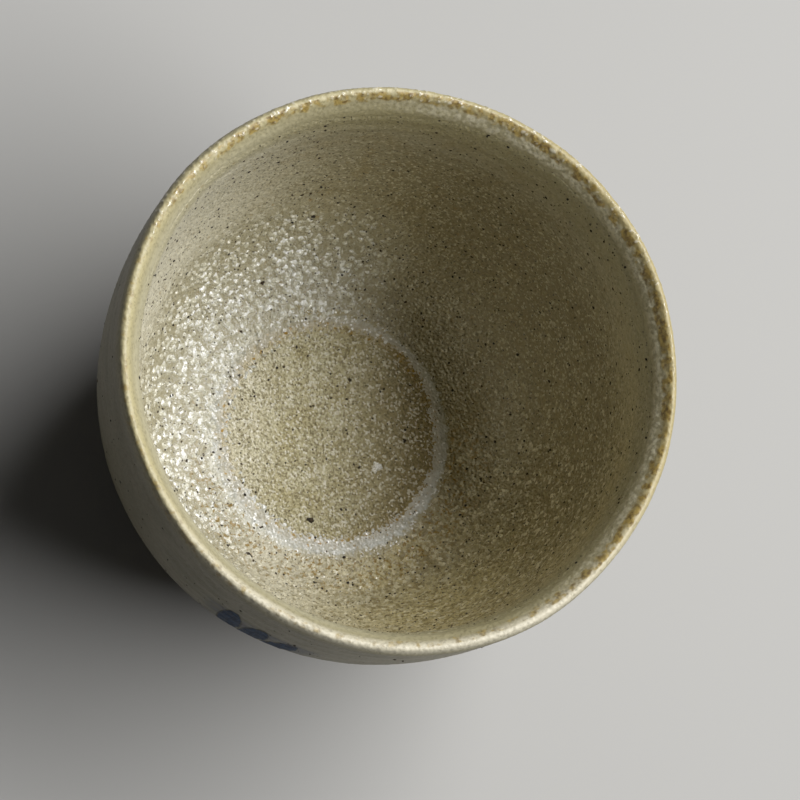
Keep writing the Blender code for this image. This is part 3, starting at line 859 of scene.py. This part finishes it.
def pooled_glass():
    """Pooled ash glass: glossy, bluish white and milky, with amber pits and rust at its inner edge, painted
    shade between its beads and white sparkle highlights painted on some grains.
    """
    mat, tree, shader, read = ceramic("pooled_ash_glass", POOL_SURFACE)
    milk = put(tree, "ShaderNodeTexNoise", {"Vector": read["at"], "Scale": 1 / (1.2 * MM), "Detail": 3.0})[0]
    colour = laid(tree, "#bcbdb5", "#d3d6d3", (milk, 0.35, 0.65))
    # Darker between the beads on the thick side, as painted shade
    colour = laid(tree, colour, "#a59c79", (read["ridge"], 0.35, 0.0, 0.0, 0.5), read["thick"])
    colour = laid(tree, colour, "#94753a", read["pit"], 0.8)
    colour = laid(tree, colour, "#a59c7c", facing(tree, read, BUMPY_AZIMUTH, 0.2, 0.95, 0.0, 0.5))
    # Its outer edge frays into the wall's colour, which is painted paler as painted light on the side that
    # faces the lamp
    radius = off_axis(tree, read, WELL_OFFSET)
    fray = put(tree, "ShaderNodeTexNoise", {"Vector": read["at"], "Scale": 1 / (0.9 * MM)})[0]
    frayed = put(tree, "ShaderNodeMath", {0: fray, 1: 2.4 * MM, 2: radius}, operation="MULTIPLY_ADD")[0]
    wall = laid(tree, "#a3976c", "#d0cdbd", facing(tree, read, PAINTED_LIGHT_AZIMUTH, -0.2, 0.7))
    colour = laid(tree, colour, wall, (frayed, POOL_RADIUS + 1.6 * MM, POOL_RADIUS + 2.5 * MM, 0.0, 0.9))
    # White sparkle highlights painted on some grains, which are also made glossier
    painted_sparkle_grain = sand(tree, read["at"], FINE_SAND)
    colour = laid(tree, rusted(tree, read, colour), "#fdfdfb", (painted_sparkle_grain, 0.85, 0.97, 0.0, 0.8))
    rough = amount(tree, (read["bead"], 0.05, 0.35, 0.5, 0.12), (painted_sparkle_grain, 0.7, 1.0, 1.0, 0.3))
    feed(tree, shader, {"Base Color": colour, "Roughness": rough, "IOR": GLASS_IOR,
                        "Normal": crisp(tree, read, POOL_SURFACE, 0.5, 0.01 * MM)})
    return mat


az = azimuths(FLOOR_POINTS)
pool_radius = POOL_RADIUS + MM * waver(az, (0.2, 3, 0.5), (0.12, 7, 1.9), (0.1, 13, 0.0), (0.07, 29, 1.0))
pool_width = POOL_WIDTH + MM * waver(az, (0.35, 1, -POOL_WIDEST), (0.15, 5, 0.8), (0.12, 11, 2.0),
                                     (0.1, 23, 0.0))
pool_rings, pool_seen = [], []
for reach in np.arange(POOL_OUTER, POOL_INNER - POOL_STEP, -POOL_STEP) * MM:
    rise = POOL_RISE * np.maximum(1 - ((reach - pool_radius) / pool_width) ** 2, -2.0)
    pool_rings.append(ring(coat_section, s_end - reach, rise, FLOOR_POINTS))
    pool_seen.append(1.0)
for reach in np.linspace(POOL_INNER, POOL_OUTER, 8) * MM:
    pool_rings.append(ring(coat_section, s_end - reach, -COAT_BACK, FLOOR_POINTS))
    pool_seen.append(0.0)
pool = turned("pooled_glass_ring", pool_rings, closed=True, seen=pool_seen, chunks=4, skin=pool_seen)
finished(pool, FIRED, Material=pooled_glass(), **POOL_SURFACE)
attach(pool, "root")
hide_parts("pooled_glaze_ring")
inside_coats.append(pool)

# Cobalt leaves
# Three plain leaf strokes brushed on the outer wall in cobalt before the last firing. Each is a thin
# film that follows the glaze, and its blue thins out towards its edge.
LEAF_TOP = 11.5 * MM
LEAF_DROP = 1.2 * MM
LEAF_RISE = 24 * MM
LEAF_WIDTH = 3.4 * MM
LEAF_END = 0.8 * MM
TIP_PITCH = 4.8 * MM
ROOT_PITCH = 3.4 * MM
# How a stroke bows out, how far up it is widest, and how far its blue bled past the brush.
LEAF_BOW = 1.6
LEAF_HEAD = 1.35
BLEED = 1.12
FILM = 0.03 * MM
FILM_BACK = 0.12 * MM
LEAF_POINTS = 33
LEAF_ROWS = 120


def cobalt_brushwork():
    """Cobalt under clear glaze: satin, deep blue where the brush lay full, with grey-blue streaks."""
    mat, tree, shader, read = ceramic("brushed_cobalt", OUTSIDE_SURFACE)
    pigment = put(tree, "ShaderNodeAttribute", {}, attribute_name="pigment")["Fac"]
    drawn = put(tree, "ShaderNodeVectorMath", {0: read["at"], 1: (1.0, 1.0, 0.12)}, operation="MULTIPLY")[0]
    streak = put(tree, "ShaderNodeTexNoise", {"Vector": drawn, "Scale": 1 / (0.5 * MM)})[0]
    blue = laid(tree, "#132c4a", "#29486a", (streak, 0.35, 0.65))
    brushed = put(tree, "ShaderNodeMath", {0: streak, 1: 0.5, 2: pigment}, operation="MULTIPLY_ADD")[0]
    colour = laid(tree, outside_colour(tree, read), blue, (brushed, 0.3, 0.9, 0.0, 0.97))
    feed(tree, shader, {"Base Color": colour, "Roughness": amount(tree, (read["bead"], 0.0, 0.6, 0.6, 0.45)),
                        "Specular IOR Level": 0.2,
                        "Normal": crisp(tree, read, OUTSIDE_SURFACE, 0.5, 0.008 * MM)})
    return mat


COBALT = cobalt_brushwork()
# Arc lengths by height, over the reach of the leaves
leaf_z = np.linspace(20 * MM, 56 * MM, 200)
leaf_s = [place_of(z, False) for z in leaf_z]
across = np.linspace(-1, 1, LEAF_POINTS)
front = np.concatenate([np.ones(LEAF_POINTS), np.zeros(LEAF_POINTS)])
for index, (side, place) in enumerate((("left", -1), ("middle", 0), ("right", 1))):
    root_z, tip_z = HEIGHT - LEAF_TOP - LEAF_RISE, HEIGHT - LEAF_TOP - index * LEAF_DROP
    root_az, tip_az = (math.radians(SPRAY_AZIMUTH) + place * pitch / CLAY_RADIUS
                       for pitch in (ROOT_PITCH, TIP_PITCH))
    rings, skin, pigment = [], [], []
    for along in np.linspace(0, 1, LEAF_ROWS):
        s = np.interp(root_z + (tip_z - root_z) * along, leaf_z, leaf_s)
        middle = root_az + (tip_az - root_az) * along ** LEAF_BOW
        swell = math.sin(math.pi * along ** LEAF_HEAD) ** 0.6
        half = BLEED * (LEAF_END + (LEAF_WIDTH - LEAF_END) * swell) / 2 / CLAY_RADIUS
        az = middle + half * np.concatenate([across, across[::-1]])
        rings.append(ring(coat_section, s, np.where(front > 0, FILM, -FILM_BACK), az))
        skin.append(front)
        # Full along the middle, and thinner towards the edges and the two ends
        full = np.clip(1.8 - 1.8 * across ** 2, 0, 1) * min(1.0, along / 0.1, (1 - along) / 0.05)
        pigment.append(np.concatenate([full, full[::-1]]))
    ends = [rings[row][:LEAF_POINTS].mean(0, keepdims=True) for row in (0, -1)]
    rings = ends[:1] + rings + ends[1:]
    leaf = turned("cobalt_stroke_" + side, rings, closed=False, seen=[1.0] * len(rings), chunks=1,
                  skin=[0.0] + skin + [0.0], pigment=[0.0] + pigment + [0.0])
    finished(leaf, FIRED, Material=COBALT, **OUTSIDE_SURFACE)
    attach(leaf, "root")
    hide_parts("cobalt_leaf_" + side)

# Iron specks
# Crumbs of iron ore in the clay that melted up through the glaze. They are scattered over the coats,
# each a dark, flattened bead half sunk in the glass.
LEAST_SPECK = 0.06 * MM
MOST_SPECK = 0.25 * MM


def speck_tree(count):
    """Geometry Nodes that scatter crumbs over the shown faces of the coats, turned to the surface."""
    inputs = {"Geometry": "Geometry", "Material": "Material", "Specks Per Area": "Float",
              "Least Radius": "Float", "Most Radius": "Float", "Seed": "Int"}
    inputs.update({"Coat %d" % i: "Object" for i in range(count)})
    tree, given = new_tree("iron_specks", inputs)
    coats = [put(tree, "GeometryNodeObjectInfo", {0: given["Coat %d" % i]})["Geometry"] for i in range(count)]
    joined = put(tree, "GeometryNodeJoinGeometry", {0: coats})[0]
    skin = put(tree, "GeometryNodeInputNamedAttribute", {0: "skin"}, data_type="FLOAT")[0]
    shown = put(tree, "FunctionNodeCompare", {0: skin, 1: 0.9}, data_type="FLOAT",
                operation="GREATER_THAN")[0]
    spread = put(tree, "GeometryNodeDistributePointsOnFaces",
                 {"Mesh": joined, "Selection": shown, "Density": given["Specks Per Area"],
                  "Seed": given["Seed"]}, distribute_method="RANDOM")
    crumb = put(tree, "GeometryNodeMeshIcoSphere", {"Radius": 1.0, "Subdivisions": 1})[0]
    chance = put(tree, "FunctionNodeRandomValue", {"Seed": 11}, data_type="FLOAT")[1]
    chance = put(tree, "ShaderNodeMath", {0: chance, 1: 2.5}, operation="POWER")[0]
    size = put(tree, "ShaderNodeMapRange", {0: chance, 3: given["Least Radius"], 4: given["Most Radius"]})[0]
    uneven = put(tree, "FunctionNodeRandomValue", {0: (0.7, 0.7, 0.4), 1: (1.4, 1.1, 0.7), "Seed": 12},
                 data_type="FLOAT_VECTOR")[0]
    scale = put(tree, "ShaderNodeVectorMath", {0: uneven, "Scale": size}, operation="SCALE")[0]
    twist = put(tree, "FunctionNodeRandomValue", {2: 0.0, 3: 2 * math.pi, "Seed": 13}, data_type="FLOAT")[1]
    twist = put(tree, "ShaderNodeCombineXYZ", {2: twist})[0]
    turn = put(tree, "FunctionNodeRotateRotation", {0: spread["Rotation"], 1: twist},
               rotation_space="LOCAL")[0]
    shape = put(tree, "GeometryNodeInstanceOnPoints",
                {"Points": spread["Points"], "Instance": crumb, "Rotation": turn, "Scale": scale})[0]
    shape = put(tree, "GeometryNodeRealizeInstances", {0: shape})[0]
    shape = put(tree, "GeometryNodeSetShadeSmooth", {0: shape})[0]
    shape = put(tree, "GeometryNodeSetMaterial", {"Geometry": shape, "Material": given["Material"]})[0]
    put(tree, "NodeGroupOutput", {0: shape})
    return tree


def burnt_iron():
    """Iron slag in glaze: near black, rust-brown in places, dull."""
    mat, tree, shader, read = ceramic("burnt_iron")
    rust = put(tree, "ShaderNodeTexNoise", {"Vector": read["at"], "Scale": 1 / (0.6 * MM)})[0]
    feed(tree, shader, {"Base Color": laid(tree, "#1f190f", "#42331d", (rust, 0.4, 0.7)),
                        "Roughness": amount(tree, (rust, 0.3, 0.7, 0.6, 0.8))})
    return mat


IRON = burnt_iron()
# How many specks there are on each square millimetre, inside and outside.
for name, coats, density in (("iron_specks_inside", inside_coats, 0.27),
                             ("iron_specks_outside", outside_coats, 0.05)):
    specks = placed(name, bpy.data.meshes.new(name))
    finished(specks, speck_tree(len(coats)), Material=IRON, Specks_Per_Area=density / MM ** 2,
             Least_Radius=LEAST_SPECK, Most_Radius=MOST_SPECK, Seed=5,
             **{"Coat_%d" % i: piece for i, piece in enumerate(coats)})
    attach(specks, "root")

# Iron spots and a feldspar grain
# A few larger crumbs of iron that stand out in the inside, and one white grain of feldspar on the
# floor that did not melt. Each is a low, uneven dome set in the glaze.
SPOT_SURFACE = dict(CLAY_SURFACE, Grain_Size=0.25 * MM, Grain_Height=0.12 * MM, Pit_Depth=0.0,
                    Throwing_Height=0.0)
SPOT_TALL = 0.22 * MM
SPOT_SINK = 0.25 * MM
SPOT_POINTS = 24
# On the wall: name, height, azimuth in degrees, and half its length round the bowl and across that, in mm.
WALL_SPOTS = (("wall", 22.3, 151.5, 0.42, 0.36), ("low", 11.8, 288, 0.6, 0.26),
              ("edge", 13.1, 168.5, 0.34, 0.28))
# On the floor the same, with the distance from its middle in place of the height.
FLOOR_SPOTS = (("near", 13.9, 309, 0.62, 0.42), ("far", 11.9, 48.5, 0.3, 0.24),
               ("left", 16.7, 201.5, 0.3, 0.3), ("middle", 6.9, 4, 0.28, 0.2),
               ("back", 9.1, 121.5, 0.26, 0.24))


def lump(name, s, az, reach, across, tall, seed):
    """A dome on the coat at an arc length and azimuth, with its reach round the bowl, across that, and up."""
    centre, along, down = (ring(coat_section, s + ds, 0.0, np.array([math.radians(az) + da]))[0]
                           for ds, da in ((0, 0), (0, 0.002), (0.05 * MM, 0)))
    along, down = ((v - centre) / np.linalg.norm(v - centre) for v in (along, down))
    out = np.cross(along, down)
    turn = azimuths(SPOT_POINTS)
    edge = 1 + waver(turn, (0.2, 3, seed), (0.12, 5, 2.3 * seed), (0.08, 8, seed))
    rings = [centre - out[None] * 0.3 * MM]
    # From below the glaze up to near the top: share of the reach, and share of the height
    for share, rise in ((0.9, -0.8), (1.0, 0.0), (0.9, 0.45), (0.65, 0.8), (0.3, 0.97)):
        flat = share * edge
        rings.append(centre + np.outer(flat * reach * np.cos(turn), along)
                     + np.outer(flat * across * np.sin(turn), down) + out * max(rise * tall, -SPOT_SINK))
    rings.append(centre + out[None] * tall)
    shown = [1.0] * len(rings)
    return turned(name, rings, closed=False, seen=shown, chunks=1, skin=shown)


def white_feldspar():
    """Unmelted feldspar: chalky white, with greyer hollows."""
    mat, tree, shader, read = ceramic("white_feldspar", SPOT_SURFACE)
    feed(tree, shader, {"Base Color": laid(tree, "#d2cfc5", "#fbfaf6", (read["grain"], 0.2, 0.7)),
                        "Roughness": 0.55, "Normal": crisp(tree, read, SPOT_SURFACE, 0.6, 0.02 * MM)})
    return mat


spots = [(name, place_of(z * MM, True), *rest) for name, z, *rest in WALL_SPOTS]
spots += [(name, s_end - radius * MM, *rest) for name, radius, *rest in FLOOR_SPOTS]
for seed, (name, s, az, reach, across) in enumerate(spots):
    spot = lump("iron_spot_" + name, s, az, reach * MM, across * MM, SPOT_TALL, seed)
    finished(spot, FIRED, Material=IRON, **SPOT_SURFACE)
    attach(spot, "root")
feldspar = lump("feldspar_grain", s_end - 8.9 * MM, az=17.5, reach=0.9 * MM, across=0.74 * MM, tall=0.5 * MM,
                seed=3.0)
finished(feldspar, FIRED, Material=white_feldspar(), **SPOT_SURFACE)
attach(feldspar, "root")

# Studio
# A plain pale floor and one long soft lamp from the right of the picture, with weak light all round.
# The camera is turned round its own axis, so that the bowl can stand upright.
RIM_CENTRE = Vector((0, 0, HEIGHT))
FOCAL_PIXELS = 2904
IMAGE = 800
SENSOR = 36
CAMERA_TILT = math.radians(18.5)
CAMERA_AWAY = 400 * MM
PICTURE_TURN = math.radians(53)
RIM_CENTRE_PIXEL = (406.0, 363.5)
LAMP_AZIMUTH = math.radians(67)
LAMP_ELEVATION = math.radians(56)
LAMP_AWAY = 900 * MM
LAMP_SIZE = (1300 * MM, 340 * MM)
LAMP_WATTS = 12.5
AIR = 0.025
FLOOR_HALF = 3.0
stage_mesh = bpy.data.meshes.new("studio_floor")
corners = [(x * FLOOR_HALF, y * FLOOR_HALF, 0) for x, y in ((-1, -1), (1, -1), (1, 1), (-1, 1))]
stage_mesh.from_pydata(corners, [], [(0, 1, 2, 3)])
stage = placed("studio_floor", stage_mesh)
stage_mat = bpy.data.materials.new("studio_paper")
stage_mat.use_nodes = True
paper = stage_mat.node_tree
# Pale where it is looked at, and grey as a surface that throws light back on the bowl.
path = put(paper, "ShaderNodeLightPath", {})
looked_at = path["Is Camera Ray"]
for ray in ("Is Glossy Ray", "Is Transmission Ray"):
    looked_at = put(paper, "ShaderNodeMath", {0: looked_at, 1: path[ray]}, operation="MAXIMUM")[0]
feed(paper, paper.nodes["Principled BSDF"],
     {"Base Color": laid(paper, "#7a7a7a", "#c6c5c2", looked_at), "Roughness": 0.9})
stage_mesh.materials.append(stage_mat)

key = bpy.data.lights.new("key_softbox", "AREA")
key.shape = "RECTANGLE"
key.size, key.size_y = LAMP_SIZE
key.energy = LAMP_WATTS
lamp = placed("key_softbox", key)
away = Vector((math.cos(LAMP_AZIMUTH) * math.cos(LAMP_ELEVATION),
               math.sin(LAMP_AZIMUTH) * math.cos(LAMP_ELEVATION), math.sin(LAMP_ELEVATION)))
lamp.location = RIM_CENTRE + away * LAMP_AWAY
lamp.rotation_euler = away.to_track_quat("Z", "Y").to_euler()

world = bpy.data.worlds.new("studio_air")
bpy.context.scene.world = world
world.use_nodes = True
world.node_tree.nodes["Background"].inputs["Color"].default_value = (AIR, AIR, AIR, 1)

camera = placed("camera", bpy.data.cameras.new("camera"))
camera.data.sensor_width = SENSOR
camera.data.lens = FOCAL_PIXELS / IMAGE * SENSOR
towards = Vector((0, -math.sin(CAMERA_TILT), math.cos(CAMERA_TILT)))
unturned_up = Vector((0, math.cos(CAMERA_TILT), math.sin(CAMERA_TILT)))
right = Vector((1, 0, 0)) * math.cos(PICTURE_TURN) + unturned_up * math.sin(PICTURE_TURN)
up = towards.cross(right)
camera.location = RIM_CENTRE + towards * CAMERA_AWAY
pixel = CAMERA_AWAY / FOCAL_PIXELS
aim = (RIM_CENTRE + right * (IMAGE / 2 - RIM_CENTRE_PIXEL[0]) * pixel
       + up * (RIM_CENTRE_PIXEL[1] - IMAGE / 2) * pixel)
axis = (camera.location - aim).normalized()
side = (right - axis * right.dot(axis)).normalized()
camera.matrix_world = (Matrix.Translation(camera.location)
                       @ Matrix((side, axis.cross(side), axis)).transposed().to_4x4())
bpy.context.scene.camera = camera
bpy.context.scene.view_settings.view_transform = "Standard"
